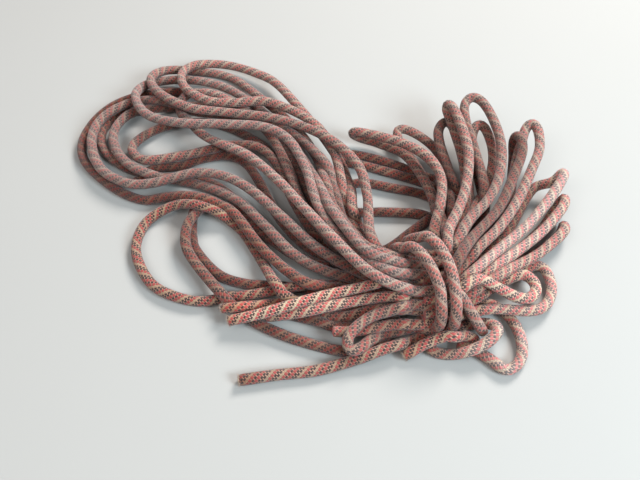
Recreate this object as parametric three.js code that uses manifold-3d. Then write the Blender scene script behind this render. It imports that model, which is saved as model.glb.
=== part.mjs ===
import * as THREE from "three";
import { mergeVertices } from "three/addons/utils/BufferGeometryUtils.js";
import Module from "manifold-3d";

// A worn rope gathered in a loose tied hank that lies on the ground.
// Millimetres, +X along the hank from its long lobe to its short bights, +Z up.

const ROPE_DIAMETER = 12.5;
const SECTION_SIDES = 6;
const GAP = 0.35; // clear space between a loose end and the hank
const SECTION_BEND = 36; // degrees the rope may turn between two sections
const SECTION_REACH = 80; // longest run between two sections
const SMALLEST_DETAIL = 0.2; // slivers smaller than this, left where strands cross, are merged away
const CENTRE_SHIFT = [-0.98, -4.88, 0]; // brings the origin under the middle of the whole hank
const LOW = 5.4; // centre height of a strand that lies on the ground

const wasm = await Module();
wasm.setup();

// The long lobe: each turn leaves the waist, goes round the far end and comes back.
const longTurns = {
  turnTop: [
    [140, -104, 17], [112, -104, 17], [73, -86, 20], [52, -48, 23], [46, 10, 24], [30, 60, 26],
    [-9, 130, 26], [-53, 204, 18], [-87, 233, 14], [-124, 251, 12], [-157, 255, 12], [-183, 244, 16],
    [-193, 219, 22], [-182, 185, 27], [-148, 156, 31], [-110, 150, 32], [-60, 150, 33],
    [-1, 114, 31], [28, 64, 27], [39, 5, 25], [48, -45, 22], [74, -89, 24], [116, -107, 28],
    [140, -106, 28],
  ],
  turnOuter: [
    [140, -108, 38], [112, -107, 38], [81, -98, 31], [69, -70, 32], [68, -15, 36], [56, 34, 39],
    [13, 81, 40], [-47, 112, 38], [-111, 124, 38], [-165, 134, 37], [-206, 160, 33],
    [-230, 190, 27], [-235, 214, 23], [-218, 237, 15], [-180, 243, 9], [-123, 229, 8],
    [-74, 179, 12], [-27, 121, 16], [3, 62, 24], [18, 10, 29], [26, -30, 30], [56, -83, 34],
    [80, -104, 39], [116, -118, 42], [140, -118, 42],
  ],
  turnHigh: [
    [140, -140, 48], [112, -139, 49], [84, -135, 50], [53, -112, 44], [25, -71, 38], [7, -30, 37],
    [-8, 22, 42], [-31, 65, 48], [-65, 87, 49], [-118, 92, 49], [-175, 98, 45], [-221, 120, 36],
    [-247, 156, 29], [-250, 190, 21], [-226, 216, 13], [-171, 221, 9], [-121, 200, 10],
    [-72, 151, 14], [-29, 83, 22], [-4, 30, 30], [10, -5, 37], [24, -40, 38], [56, -94, 42],
    [78, -114, 46], [116, -127, 48], [140, -127, 48],
  ],
  turnCross: [
    [140, -158, 46], [108, -157, 46], [64, -133, 46], [20, -80, 44], [-12, -37, 41], [-43, 7, 36],
    [-85, 52, 33], [-139, 84, 31], [-164, 112, 28], [-187, 150, 21], [-180, 188, 13],
    [-141, 189, 11], [-93, 150, 12], [-66, 112, 12],
  ],
  turnWide: [
    [140, -150, 38], [112, -148, 38], [67, -133, 34], [10, -95, 31], [-35, -46, 28], [-75, -4, 28],
    [-112, 21, 27], [-153, 28, 25], [-204, 14, 22], [-240, 17, 19], [-280, 45, 17], [-301, 97, 17],
    [-290, 140, 18], [-250, 164, 22], [-206, 162, 22], [-164, 144, 20], [-101, 135, 21],
    [-42, 109, 24], [11, 50, 29], [28, -2, 27], [40, -51, 26], [72, -90, 28], [114, -113, 20],
    [140, -114, 18],
  ],
  turnNarrow: [
    [74, -138, 22], [46, -127, 21], [15, -117, 21], [-23, -91, 19], [-58, -50, 18], [-95, -10, 17],
    [-145, 17, 14], [-201, 33, 11], [-241, 51, 13], [-267, 82, 13], [-274, 120, 13],
    [-252, 151, 14], [-205, 163, 10], [-145, 167, 8], [-90, 140, 9], [-62, 112, 12],
  ],
  turnInner: [
    [-5, -30, 12], [-23, -4, 11], [-44, 47, 13], [-70, 79, 16], [-106, 84, 17], [-171, 65, 18],
    [-223, 59, 15], [-245, 84, 12], [-226, 114, 10], [-190, 134, 7], [-137, 134, 7],
    [-90, 108, 8], [-62, 88, 10],
  ],
  turnGround: [
    [20, -131, 9], [-2, -130, 12], [-25, -117, 15], [-45, -99, 17], [-57, -86, 17], [-68, -72, 17],
    [-78, -57, 16], [-88, -42, 15], [-102, -26, 14], [-130, -8, 13], [-161, 1, 12], [-190, 2, 8],
    [-220, -1, LOW], [-265, 23, LOW], [-307, 65, LOW], [-317, 105, LOW], [-305, 148, LOW],
    [-277, 179, 7], [-230, 196, 8], [-170, 197, LOW], [-110, 166, 6], [-70, 128, 9],
  ],
};

// Strands on the near side: two loose loops on the ground and the folded bights before the waist.
const nearStrands = {
  loopLoose: [
    [100, -158, 17], [75, -160, 14], [20, -160, 14], [-8, -160, 17], [-31, -149, 21],
    [-37, -140, 21], [-46, -125, 17], [-52, -111, 11], [-60, -94, LOW], [-74, -70, LOW],
    [-90, -47, 7], [-112, -29, 12], [-138, -21, 18], [-172, -14, 12], [-205, -33, LOW],
    [-215, -66, LOW], [-207, -98, LOW], [-182, -131, LOW], [-139, -149, 7], [-102, -148, 7],
    [-68, -141, 7], [-40, -135, 7], [-10, -130, 8], [30, -131, 11],
  ],
  loopShade: [
    [-128, -1, LOW], [-142, -15, 6], [-152, -34, 9], [-155, -55, 13], [-152, -77, 12.5],
    [-141, -97, 12], [-125, -117, 10], [-104, -141, 8], [-78, -166, LOW], [-38, -189, LOW],
    [10, -206, LOW], [50, -213, LOW], [89, -203, LOW],
  ],
  loopBehind: [
    [-146, -10, LOW], [-149, -35, LOW], [-147, -62, LOW], [-139, -82, LOW], [-111, -113, LOW],
    [-78, -126, LOW], [-20, -134, 7], [30, -144, 9],
  ],
  strandUnder: [
    [-55, -173, 10], [-8, -167, 15], [44, -160, 24], [88, -156, 31], [114, -164, 36],
  ],
  strandFlat: [[-34, -166, LOW], [3, -174, 8], [32, -184, 9], [77, -179, 8], [100, -176, 10]],
  strandMiddle: [[1, -167, 8], [35, -174, 14], [71, -167, 19], [108, -166, 24]],
  strandStub: [[25, -188, 7], [57, -189, 10], [90, -184, 15], [116, -176, 20]],
  bightTight: [
    [114, -166, 36], [88, -174, 31], [65, -181, 28], [47, -194, 24],
    [40, -205, 17], [44, -212, 9], [54, -210, 6], [68, -199, LOW], [92, -188, 6],
    [116, -178, 12],
  ],
};

// The short lobe: bights that fan out past the waist, some of them standing.
const shortBights = {
  bightBack: [
    [124, -104, 17], [148, -102, 18], [161, -73, 20], [153, -33, 25], [147, 3, 27],
    [124, 62, 20], [92, 90, 13], [66, 100, 14], [54, 103, 20], [62, 99, 27], [90, 86, 32],
    [122, 65, 39], [148, 36, 45], [160, 2, 46], [155, -38, 43], [144, -76, 40], [147, -104, 38],
    [124, -106, 38],
  ],
  bightLow: [
    [124, -118, 38], [148, -114, 39], [158, -84, 41], [154, -35, 30], [143, 21, 22],
    [129, 64, 18], [117, 92, 18], [117, 107, 22], [130, 106, 23], [151, 90, 22], [168, 67, 19],
    [176, 30, 18], [175, -11, 18], [171, -55, 20], [166, -95, 19], [148, -116, 17],
    [124, -117, 17],
  ],
  bightStanding: [
    [124, -117, 28], [148, -114, 29], [166, -80, 30], [183, -46, 30], [192, -8, 33],
    [193, 42, 38], [186, 90, 44], [180, 115, 49], [181, 122, 55], [186, 108, 61],
    [192, 75, 61], [196, 35, 58], [189, -10, 53], [174, -50, 50], [160, -78, 48],
    [150, -118, 48], [124, -128, 48],
  ],
  bightSlim: [
    [124, -130, 17], [150, -122, 17], [176, -78, 18], [185, -42, 18], [183, -12, 20],
    [175, 34, 27], [168, 70, 33], [168, 92, 38], [178, 103, 42], [188, 92, 39], [194, 51, 34],
    [198, 12, 30], [193, -25, 28], [178, -66, 28], [152, -122, 28], [124, -130, 28],
  ],
  bightTall: [
    [124, -144, 28], [150, -135, 28], [186, -82, 28], [208, -44, 28], [216, 0, 31],
    [211, 48, 39], [203, 92, 48], [203, 120, 55], [213, 130, 60], [226, 121, 60], [236, 90, 58],
    [240, 50, 55], [232, 5, 52], [214, -32, 50], [184, -66, 48], [160, -106, 47],
    [124, -136, 48],
  ],
  bightShort: [
    [124, -143, 17], [152, -134, 17], [194, -80, 18], [212, -45, 18], [216, -9, 20],
    [211, 38, 28], [210, 76, 37], [218, 94, 44], [228, 90, 43], [234, 64, 38], [232, 36, 33],
    [221, 5, 29], [203, -28, 28], [178, -70, 30], [150, -130, 36], [124, -134, 36],
  ],
  bightLean: [
    [124, -147, 48], [150, -142, 48], [180, -100, 45], [218, -54, 38], [243, -12, 36],
    [262, 38, 37], [276, 78, 44], [287, 91, 50], [294, 80, 50], [292, 52, 45], [276, 18, 42],
    [250, -30, 40], [220, -71, 40], [182, -108, 42], [150, -145, 40], [124, -150, 40],
  ],
  bightEdge: [
    [124, -158, 17], [152, -146, 17], [196, -92, 17], [228, -54, 19], [248, -12, 23],
    [260, 42, 32], [266, 72, 42], [270, 66, 49], [267, 42, 48], [250, 4, 45], [223, -45, 42],
    [180, -92, 40], [150, -136, 40], [124, -139, 40],
  ],
  bightWing: [
    [124, -156, 28], [152, -147, 28], [197, -106, 26], [240, -57, 20], [268, -12, 16],
    [286, 10, 18], [306, 13, 25], [317, 19, 35], [314, 8, 40], [296, -18, 37], [262, -57, 32],
    [224, -91, 32], [180, -131, 36], [148, -158, 40], [124, -160, 40],
  ],
  bightSide: [
    [124, -170, 17], [152, -160, 17], [202, -119, 15], [246, -85, 10], [283, -51, 8],
    [306, -22, 11], [318, -9, 19], [311, -27, 25], [280, -62, 25], [241, -94, 25],
    [190, -131, 28], [150, -165, 28], [124, -168, 28],
  ],
  bightGround: [
    [124, -164, 17], [152, -155, 16], [202, -122, 10], [246, -99, LOW], [288, -73, LOW],
    [307, -56, 7], [312, -46, 12], [305, -62, 19], [270, -92, 18], [229, -116, 19],
    [190, -143, 27], [150, -176, 34], [124, -180, 34],
  ],
  bightTwisted: [
    [124, -170, 40], [150, -164, 41], [172, -148, 42], [188, -140, 40], [208, -147, 34],
    [231, -155, 26], [247, -153, 21], [258, -140, 16], [258, -125, 12], [247, -115, 9],
    [225, -124, 9], [190, -148, 14], [150, -175, 18], [124, -176, 18],
  ],
  bightNear: [
    [124, -184, 24], [150, -179, 23], [175, -171, 20], [206, -166, 19], [246, -166, 14],
    [268, -156, 10], [280, -132, 8], [277, -106, 7], [262, -102, LOW], [235, -118, 6],
    [196, -143, 10], [150, -180, 12], [124, -184, 12],
  ],
  bightUnder: [
    [124, -104, 28], [148, -102, 27], [166, -72, 21], [174, -36, 13], [171, -2, 8],
    [156, 21, LOW], [118, 39, LOW], [69, 57, LOW], [46, 63, LOW], [42, 72, LOW], [54, 77, LOW],
    [95, 65, LOW], [140, 43, 6], [165, 22, 9], [172, -10, 12],
  ],
  bightShadow: [
    [168, -30, 12], [158, -4, 7], [140, 9, LOW], [107, 18, LOW], [64, 27, LOW], [43, 16, LOW],
    [38, -6, LOW], [50, -21, LOW], [90, -21, LOW], [135, -24, LOW], [156, -38, 8],
    [164, -58, 12],
  ],
  strandBack: [[160, -24, 11], [135, -42, LOW], [105, -68, LOW], [74, -94, 7]],
  loopCorner: [
    [162, -204, 7], [178, -209, LOW], [195, -221, LOW], [211, -233, LOW], [227, -223, LOW],
    [233, -202, LOW], [228, -176, 6], [210, -157, 9], [180, -152, 13], [150, -158, 17],
    [124, -160, 17],
  ],
};

// The rope's own end wound twice round the waist, a third pass, and the fold the tail comes from.
const wraps = {
  wrapFirst: [
    [120, -184, 8], [134, -191, 17], [139, -192, 30], [140, -187, 44], [139, -178, 54],
    [138, -165, 62], [134, -153, 66], [129, -140, 69], [120, -122, 67], [112, -111, 62],
    [105, -106, 52], [99, -98, 40], [98, -92, 26], [104, -94, 13], [118, -105, LOW],
    [130, -130, LOW], [138, -160, LOW], [144, -182, LOW],
  ],
  wrapSecond: [
    [130, -188, 8], [146, -191, 15], [154, -193, 28], [155, -189, 43], [155, -180, 54],
    [153, -158, 65], [151, -145, 68], [147, -132, 70], [142, -119, 70.5], [136, -108, 69],
    [130, -99, 65], [122, -95, 57], [115, -90, 46], [112, -85, 32], [116, -85, 17], [128, -98, 7],
    [132, -130, LOW], [128, -165, LOW], [118, -188, 9],
  ],
  wrapThird: [[148, -148, 46], [160, -162, 47], [170, -174, 40], [181, -185, 26], [191, -192, 12]],
  tieFold: [
    [126, -190, 8], [130, -207, 6], [145, -215, 6], [168, -215, 11], [188, -209, 19],
    [202, -198, 22], [204, -187, 17], [194, -180, 11], [170, -182, 9], [148, -186, 11],
  ],
};

// Loose ends, each from the hank to its cut tip.
const looseEnds = {
  front_end: [
    [112, -199, 6], [80, -209, LOW], [43, -223, LOW], [6, -234, LOW], [-36, -239, LOW],
    [-76, -245, LOW],
  ],
  tie_tail: [[183, -199, 7], [168, -197, 15], [148, -199, 19], [124, -207, 14], [102, -217, LOW]],
  lower_end: [
    [92, -140, 38], [53, -147, 33], [1, -158, 27], [-50, -171, 20], [-92, -178, 13],
  ],
  upper_end: [[-2, -152, 14], [-36, -155, 11], [-70, -157, 8], [-101, -158, LOW]],
};

// The buried middle of the gathered strands: soft cores that run from the waist into the long lobe.
const cores = [
  {
    halfWidth: 27,
    halfHeight: 15,
    route: [
      [122, -138, 32], [84, -120, 27], [46, -86, 22], [16, -40, 18], [-12, 14, 16], [-42, 68, 14],
      [-78, 118, 12],
    ],
  },
  {
    halfWidth: 15,
    halfHeight: 10,
    route: [[122, -160, 20], [80, -146, 14], [40, -136, 12], [6, -124, 11], [-22, -102, 10]],
  },
];

// The waist inside the wraps, as seen along the rope: Y and height of its outline, then its length.
const WAIST_OUTLINE = [
  [-188, 12], [-188, 34], [-172, 52], [-140, 58], [-110, 53], [-95, 36], [-95, 12], [-108, 3],
  [-176, 3],
];
const WAIST_START = 108;
const WAIST_LENGTH = 44;
const WAIST_TAPER = 26;

// A smooth route with its sections set closer where the rope bends and wider where it runs straight.
class Route extends THREE.Curve {
  constructor(points) {
    super();
    const chosen = points.map((p) => new THREE.Vector3(...p));
    this.smooth = new THREE.CatmullRomCurve3(chosen, false, "catmullrom", 0.5);
    const fine = (chosen.length - 1) * 16;
    this.stops = [0];
    let bend = 0;
    let length = 0;
    for (let i = 1; i < fine; i++) {
      const before = this.smooth.getTangent((i - 1) / fine);
      const after = this.smooth.getTangent(i / fine);
      bend += THREE.MathUtils.radToDeg(before.angleTo(after));
      length += this.smooth.getPoint((i - 1) / fine).distanceTo(this.smooth.getPoint(i / fine));
      if (bend > SECTION_BEND || length > SECTION_REACH) {
        this.stops.push(i / fine);
        bend = 0;
        length = 0;
      }
    }
    this.stops.push(1);
  }

  get sections() {
    return this.stops.length - 1;
  }

  parameter(u) {
    const place = u * this.sections;
    const index = Math.min(Math.floor(place + 1e-9), this.sections - 1);
    const share = place - index;
    return this.stops[index] * (1 - share) + this.stops[index + 1] * share;
  }

  getPointAt(u, target = new THREE.Vector3()) {
    return this.smooth.getPoint(this.parameter(u), target);
  }

  getTangentAt(u, target = new THREE.Vector3()) {
    return this.smooth.getTangent(this.parameter(u), target);
  }
}

// The section's flats enclose the same area as the round rope.
function sectionShape(grow) {
  const corner = Math.sin((2 * Math.PI) / SECTION_SIDES) * (SECTION_SIDES / 2);
  const radius = (ROPE_DIAMETER / 2) * Math.sqrt(Math.PI / corner) + grow;
  const points = [];
  for (let i = 0; i < SECTION_SIDES; i++) {
    const angle = (2 * Math.PI * (i + 0.5)) / SECTION_SIDES;
    points.push(new THREE.Vector2(radius * Math.cos(angle), radius * Math.sin(angle)));
  }
  return new THREE.Shape(points);
}

function solidFrom(geometry) {
  const bare = new THREE.BufferGeometry();
  const plain = geometry.index ? geometry.toNonIndexed() : geometry;
  bare.setAttribute("position", plain.getAttribute("position"));
  const merged = mergeVertices(bare, 1e-3);
  const mesh = new wasm.Mesh({
    numProp: 3,
    vertProperties: new Float32Array(merged.attributes.position.array),
    triVerts: new Uint32Array(merged.index.array),
  });
  return new wasm.Manifold(mesh);
}

function geometryFrom(solid) {
  const mesh = solid.getMesh();
  const geometry = new THREE.BufferGeometry();
  geometry.setAttribute("position", new THREE.BufferAttribute(mesh.vertProperties, 3));
  geometry.setIndex(new THREE.BufferAttribute(mesh.triVerts, 1));
  const faceted = geometry.toNonIndexed();
  faceted.computeVertexNormals();
  return faceted;
}

function ropeAlong(points, grow = 0) {
  const route = new Route(points);
  return new THREE.ExtrudeGeometry(sectionShape(grow), {
    steps: route.sections,
    extrudePath: route,
    bevelEnabled: false,
  });
}

// The ground under the hank: what a strand presses below it is cut away, which leaves its flats.
const underGround = solidFrom(new THREE.BoxGeometry(900, 800, 40).translate(0, 0, -20));

// A core is wide and low. Its section stands on the route's upright normal, so x is its height.
function coreGeometry({ halfWidth, halfHeight, route }) {
  const outline = new THREE.Shape();
  outline.absellipse(0, 0, halfHeight, halfWidth, 0, 2 * Math.PI, false, 0);
  return new THREE.ExtrudeGeometry(outline, {
    steps: route.length + 2,
    curveSegments: 10,
    extrudePath: new THREE.CatmullRomCurve3(route.map((p) => new THREE.Vector3(...p))),
    bevelEnabled: false,
  });
}

// The waist tapers at both ends to where the strands spread.
function waistGeometry() {
  const outline = new THREE.Shape(WAIST_OUTLINE.map(([y, z]) => new THREE.Vector2(y, z)));
  return new THREE.ExtrudeGeometry(outline, {
    depth: WAIST_LENGTH,
    bevelThickness: WAIST_TAPER,
    bevelSize: WAIST_TAPER / 2,
    bevelOffset: -WAIST_TAPER / 2,
    bevelSegments: 1,
  })
    .rotateX(Math.PI / 2)
    .rotateZ(Math.PI / 2)
    .translate(WAIST_START, 0, 0);
}

let hank = solidFrom(waistGeometry());
for (const core of cores) hank = hank.add(solidFrom(coreGeometry(core)));
for (const family of [longTurns, nearStrands, shortBights, wraps]) {
  for (const points of Object.values(family)) {
    hank = hank.add(solidFrom(ropeAlong(points)));
  }
}
hank = hank.subtract(underGround);

const group = new THREE.Group();
group.name = "coiled_frayed_rope";

function addPiece(name, solid, colour) {
  const sheath = { name: name + "_sheath", color: colour, roughness: 0.9 };
  const material = new THREE.MeshStandardMaterial(sheath);
  const mesh = new THREE.Mesh(geometryFrom(solid).translate(...CENTRE_SHIFT), material);
  mesh.name = name;
  group.add(mesh);
}

const ends = [];
for (const [name, points] of Object.entries(looseEnds)) {
  ends.push([name, solidFrom(ropeAlong(points)).subtract(underGround)]);
  // The space round a loose end, and the same moved back past the face where it leaves the hank.
  const space = solidFrom(ropeAlong(points, GAP));
  const back = new THREE.Vector3(...points[0]).sub(new THREE.Vector3(...points[1])).setLength(GAP);
  hank = hank.subtract(space).subtract(space.translate(back.x, back.y, back.z));
}
// The hollows shut in between the strands are filled, so only the outer skin is left.
const skins = hank.decompose().filter((skin) => skin.volume() > 0);
skins.sort((a, b) => b.volume() - a.volume());
addPiece("hank", skins[0].simplify(SMALLEST_DETAIL), 0xb98468);
for (const [name, solid] of ends) addPiece(name, solid, 0xc98f70);

export default group;
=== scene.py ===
import math
import bpy
import numpy as np
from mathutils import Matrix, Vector


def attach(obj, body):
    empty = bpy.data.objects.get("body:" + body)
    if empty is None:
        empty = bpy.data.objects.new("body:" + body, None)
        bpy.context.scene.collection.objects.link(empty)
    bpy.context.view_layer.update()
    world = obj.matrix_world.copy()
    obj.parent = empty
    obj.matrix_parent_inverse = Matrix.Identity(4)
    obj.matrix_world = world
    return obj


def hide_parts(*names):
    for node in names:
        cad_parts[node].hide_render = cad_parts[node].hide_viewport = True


# A worn braided rope in a loose hank, tied round the waist with its own end.
# Routes are in millimetres; everything placed in the scene is in metres.

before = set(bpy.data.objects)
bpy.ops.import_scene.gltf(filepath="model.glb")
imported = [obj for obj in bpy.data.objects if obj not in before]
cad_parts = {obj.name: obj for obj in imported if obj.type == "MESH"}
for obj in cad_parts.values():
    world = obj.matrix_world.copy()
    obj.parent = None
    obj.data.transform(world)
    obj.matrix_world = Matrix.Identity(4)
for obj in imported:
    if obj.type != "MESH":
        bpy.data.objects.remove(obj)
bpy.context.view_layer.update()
metre = 0.001

rope = {
    "diameter": 12.5,  # over the braided sheath
    "sides": 26,
    "ringGap": 2.1,  # between two rings of the sheath mesh
    "nodeGap": 6.0,  # between two nodes while the strands settle
    "touch": 12.15,  # centre to centre where two strands press on each other
    "seat": 6.15,  # centre height of a strand on the ground
    "swell": 0.02,  # how much the thickness wanders
    "oval": 0.025,
    "turn": 0.6,  # how far the braid wanders round the rope, in radians
    "swellEvery": 12,  # rings between two changes of thickness, of ovalness and of turn
    "ovalEvery": 25,
    "turnEvery": 60,
    "taper": (0.88, 0.97),  # thickness of the last two rings
    "capRings": ((0.72, 0.5), (0.36, 1.0)),  # size and bulge of the rings on an end face
    "capRough": 0.28,
    "capBulge": 1.2,
}
braid = {
    "yarns": 12,  # of each lean, round the rope
    "pitch": 36.0,
}
centreShift = np.array([-0.98, -4.88, 0.0])  # moves the routes to the middle of the frame
low = rope["seat"]



def linked(name, data):
    # a new object in the scene
    thing = bpy.data.objects.new(name, data)
    bpy.context.scene.collection.objects.link(thing)
    return thing


camera = {
    "place": (0.00902, -0.49988, 0.636),
    "tilt": 34.4,  # degrees from straight down
    "lens": 34.875,
    "sensor": 36.0,
}
cameraData = bpy.data.cameras.new("ropeCamera")
cameraData.lens = camera["lens"]
cameraData.sensor_width = camera["sensor"]
cameraData.clip_start = 0.02
cameraData.clip_end = 20.0
cameraObject = linked("ropeCamera", cameraData)
cameraObject.location = camera["place"]
cameraObject.rotation_euler = (math.radians(camera["tilt"]), 0.0, 0.0)
bpy.context.scene.camera = cameraObject
print("camera set")

longTurns = {
    "turnTop": [
        (140, -104, 17), (112, -104, 17), (73, -86, 20), (52, -48, 23), (46, 10, 24), (30, 60, 26),
        (-9, 130, 26), (-53, 204, 18), (-87, 233, 14), (-124, 251, 12), (-157, 255, 12),
        (-183, 244, 16), (-193, 219, 22), (-182, 185, 27), (-148, 156, 31), (-110, 150, 32),
        (-60, 150, 33), (-1, 114, 31), (28, 64, 27), (39, 5, 25), (48, -45, 22), (74, -89, 24),
        (116, -107, 28), (140, -106, 28),
    ],
    "turnOuter": [
        (140, -108, 38), (112, -107, 38), (81, -98, 31), (69, -70, 32), (68, -15, 36), (56, 34, 39),
        (13, 81, 40), (-47, 112, 38), (-111, 124, 38), (-165, 134, 37), (-206, 160, 33),
        (-230, 190, 27), (-235, 214, 23), (-218, 237, 15), (-180, 243, 9), (-123, 229, 8),
        (-74, 179, 12), (-27, 121, 16), (3, 62, 24), (18, 10, 29), (26, -30, 30), (56, -83, 34),
        (80, -104, 39), (116, -118, 42), (140, -118, 42),
    ],
    "turnHigh": [
        (140, -140, 48), (112, -139, 49), (84, -135, 50), (53, -112, 44), (25, -71, 38),
        (7, -30, 37), (-8, 22, 42), (-31, 65, 48), (-65, 87, 49), (-118, 92, 49), (-175, 98, 45),
        (-221, 120, 36), (-247, 156, 29), (-250, 190, 21), (-226, 216, 13), (-171, 221, 9),
        (-121, 200, 10), (-72, 151, 14), (-29, 83, 22), (-4, 30, 30), (10, -5, 37), (24, -40, 38),
        (56, -94, 42), (78, -114, 46), (116, -127, 48), (140, -127, 48),
    ],
    "turnCross": [
        (140, -158, 46), (108, -157, 46), (64, -133, 46), (20, -80, 44), (-12, -37, 41),
        (-43, 7, 36), (-85, 52, 33), (-139, 84, 31), (-164, 112, 28), (-187, 150, 21),
        (-180, 188, 13), (-141, 189, 11), (-93, 150, 13), (-57, 100, 18), (-32, 39, 22),
        (-11, -23, 24), (29, -82, 26), (66, -114, 28), (112, -132, 28), (140, -132, 28),
    ],
    "turnWide": [
        (140, -150, 38), (112, -148, 38), (67, -133, 34), (10, -95, 31), (-35, -46, 28),
        (-75, -4, 28), (-112, 21, 27), (-153, 28, 25), (-204, 14, 22), (-240, 17, 19),
        (-280, 45, 17), (-301, 97, 17), (-290, 140, 18), (-250, 164, 22), (-206, 162, 22),
        (-164, 144, 20), (-101, 135, 21), (-42, 109, 24), (11, 50, 29), (28, -2, 27), (40, -51, 26),
        (72, -90, 28), (114, -113, 20), (140, -114, 18),
    ],
    "turnNarrow": [
        (140, -162, 36), (114, -158, 34), (69, -135, 24), (15, -117, 21), (-23, -91, 19),
        (-58, -50, 18), (-95, -10, 17), (-145, 17, 14), (-201, 33, 11), (-241, 51, 13),
        (-267, 82, 13), (-274, 120, 13), (-252, 151, 14), (-205, 163, 10), (-145, 167, 8),
        (-80, 136, 9), (-33, 76, 12), (-8, 9, 14), (17, -50, 16), (69, -96, 18), (114, -125, 18),
        (140, -127, 18),
    ],
    "turnInner": [
        (140, -140, 17), (112, -136, 17), (71, -109, 14), (12, -67, 11), (-23, -8, 10),
        (-44, 47, 13), (-70, 79, 16), (-106, 84, 17), (-171, 65, 18), (-223, 59, 15),
        (-245, 84, 12), (-226, 114, 10), (-190, 134, 7), (-137, 134, 7), (-81, 103, 7),
        (-43, 54, 9), (-21, -4, 9), (17, -65, 12), (62, -108, 15), (112, -150, 17), (140, -152, 17),
    ],
    "turnGround": [
        (140, -164, 17), (108, -154, 14), (56, -139, 9), (-2, -130, 12), (-25, -117, 15),
        (-45, -99, 17), (-57, -86, 17), (-68, -72, 17), (-78, -57, 16), (-88, -42, 15),
        (-102, -26, 14), (-130, -8, 13), (-161, 1, 12), (-190, 2, 8), (-220, -1, low),
        (-265, 23, low), (-307, 65, low), (-317, 105, low), (-305, 148, low), (-277, 179, 7),
        (-230, 196, 8), (-170, 197, low), (-105, 164, low), (-51, 118, 6), (-13, 51, 9), (6, 0, 10),
        (27, -44, 13), (72, -91, 17), (112, -117, 26), (140, -120, 28),
    ],
    "turnLowOuter": [
        (20, -105, 9), (-20, -88, 8), (-52, -62, 7), (-78, -37, 7), (-92, -12, 7), (-109, 7, 8),
        (-131, 24, 8), (-159, 35, 7), (-188, 35, 7), (-215, 38, 7), (-240, 47, 7), (-261, 61, 7),
        (-280, 79, 7), (-292, 99, 7), (-293, 126, 7), (-283, 146, 7), (-265, 156, 7),
        (-242, 158, 7),
    ],
    "turnLowInner": [
        (40, -105, 12), (5, -85, 10), (-28, -52, 9), (-54, -8, 9), (-70, 27, 10), (-87, 55, 10),
        (-106, 69, 10), (-125, 72, 9), (-152, 66, 8), (-175, 56, 7), (-204, 52, 7), (-222, 38, 6.5),
        (-235, 25, 6.5),
    ],
}

nearStrands = {
    "loopLoose": [
        (140, -176, 24), (112, -166, 19), (75, -160, 14), (20, -160, 14), (-8, -160, 17),
        (-31, -149, 21), (-37, -140, 21), (-46, -125, 17), (-52, -111, 11), (-60, -94, low),
        (-74, -70, low), (-90, -47, 7), (-112, -29, 12), (-138, -21, 18), (-172, -14, 12),
        (-205, -33, low), (-215, -66, low), (-207, -98, low), (-182, -131, low), (-139, -149, 7),
        (-102, -148, 7), (-68, -141, 7), (-40, -135, 7), (-10, -130, 8), (45, -131, 11),
        (85, -138, 16), (114, -152, 27), (140, -152, 28),
    ],
    "loopShade": [
        (-128, -1, low), (-142, -15, 6), (-152, -34, 9), (-155, -55, 13), (-152, -77, 12.5),
        (-141, -97, 12), (-125, -117, 10), (-104, -141, 8), (-78, -166, low), (-38, -189, low),
        (10, -206, low), (50, -213, low), (89, -203, low),
    ],
    "loopBehind": [
        (-146, -10, low), (-149, -35, low), (-147, -62, low), (-139, -82, low), (-111, -113, low),
        (-78, -126, low), (-20, -134, 7), (30, -144, 9),
    ],
    "strandUnder": [
        (-55, -173, 10), (-8, -167, 15), (44, -160, 24), (88, -156, 29), (114, -160, 30),
        (140, -160, 30),
    ],
    "strandFlat": [
        (-34, -166, low), (3, -174, 8), (32, -184, 9), (77, -179, 8), (100, -176, 10),
    ],
    "strandMiddle": [
        (1, -167, 8), (35, -174, 14), (71, -167, 19), (100, -168, 24), (140, -178, 30),
    ],
    "strandStub": [
        (25, -188, 7), (57, -189, 10), (90, -184, 15), (116, -186, 20), (140, -186, 20),
    ],
    "bightTight": [
        (140, -178, 40), (112, -170, 36), (88, -174, 31), (65, -181, 28), (47, -194, 24),
        (40, -205, 17), (44, -212, 9), (54, -210, 6), (68, -199, low), (90, -190, 6),
        (116, -185, 10), (140, -184, 10),
    ],
    "lowerRun": [
        (92, -139, 38), (113, -136, 40), (128, -145, 47), (140, -148, 48),
    ],
    "upperRun": [
        (4, -151, 14), (38, -148, 18), (78, -146, 22), (116, -170, 28), (140, -170, 28),
    ],
    "frontRun": [
        (112, -199, low), (122, -196, 8), (133, -191, 12), (144, -186, 16), (152, -180, 16),
    ],
}

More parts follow.
